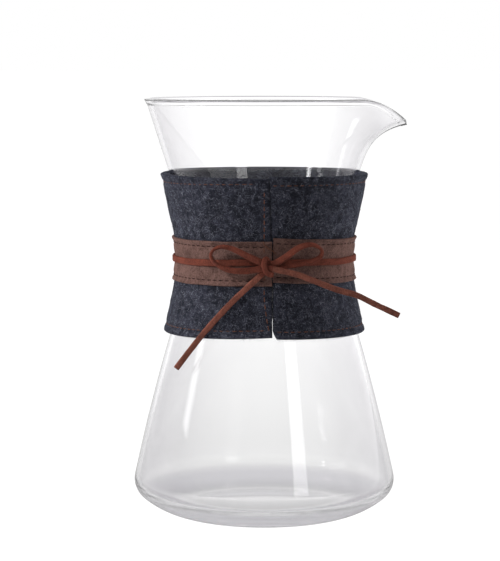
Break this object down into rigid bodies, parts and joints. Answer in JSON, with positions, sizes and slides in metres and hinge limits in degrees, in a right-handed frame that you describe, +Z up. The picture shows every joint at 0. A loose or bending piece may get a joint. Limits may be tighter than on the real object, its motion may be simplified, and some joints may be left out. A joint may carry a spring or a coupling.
{
  "type": "pour-over coffee carafe",
  "caption": "Hourglass pour-over carafe of clear glass with a beak spout, and a stitched felt sleeve with a suede belt, tied round its waist with a lace bow.",
  "frame": {"origin": "centre of the carafe's flat foot, on the surface it stands on", "axes": "+Z up along the carafe's axis, +X towards the spout, -Y towards the sleeve's slit and bow"},
  "size_m": [0.125, 0.12, 0.191],
  "materials": {
    "glass": "clear polished borosilicate",
    "felt": "thick melange wool felt",
    "suede": "napped suede",
    "lace": "napped suede lace",
    "hem_thread": "matte sewing thread",
    "belt_thread": "matte sewing thread"
  },
  "bodies": {
    "carafe": {"glass_carafe": "glass"},
    "sleeve": {"felt_sleeve": "felt", "suede_belt": "suede", "top_hem_stitches": "hem_thread", "bottom_hem_stitches": "hem_thread", "flap_edge_stitches": "hem_thread", "belt_upper_stitches": "belt_thread", "belt_lower_stitches": "belt_thread", "lace_wrap": "lace", "lace_knot": "lace", "lace_loop_left": "lace", "lace_loop_right": "lace", "lace_tail_left": "lace", "lace_tail_right": "lace"}
  },
  "joints": [
    {"name": "sleeve_turn", "type": "hinge", "parent": "carafe", "child": "sleeve", "pos_m": [0, 0, 0.118], "axis": [0, 0, 1], "continuous": true}
  ]
}
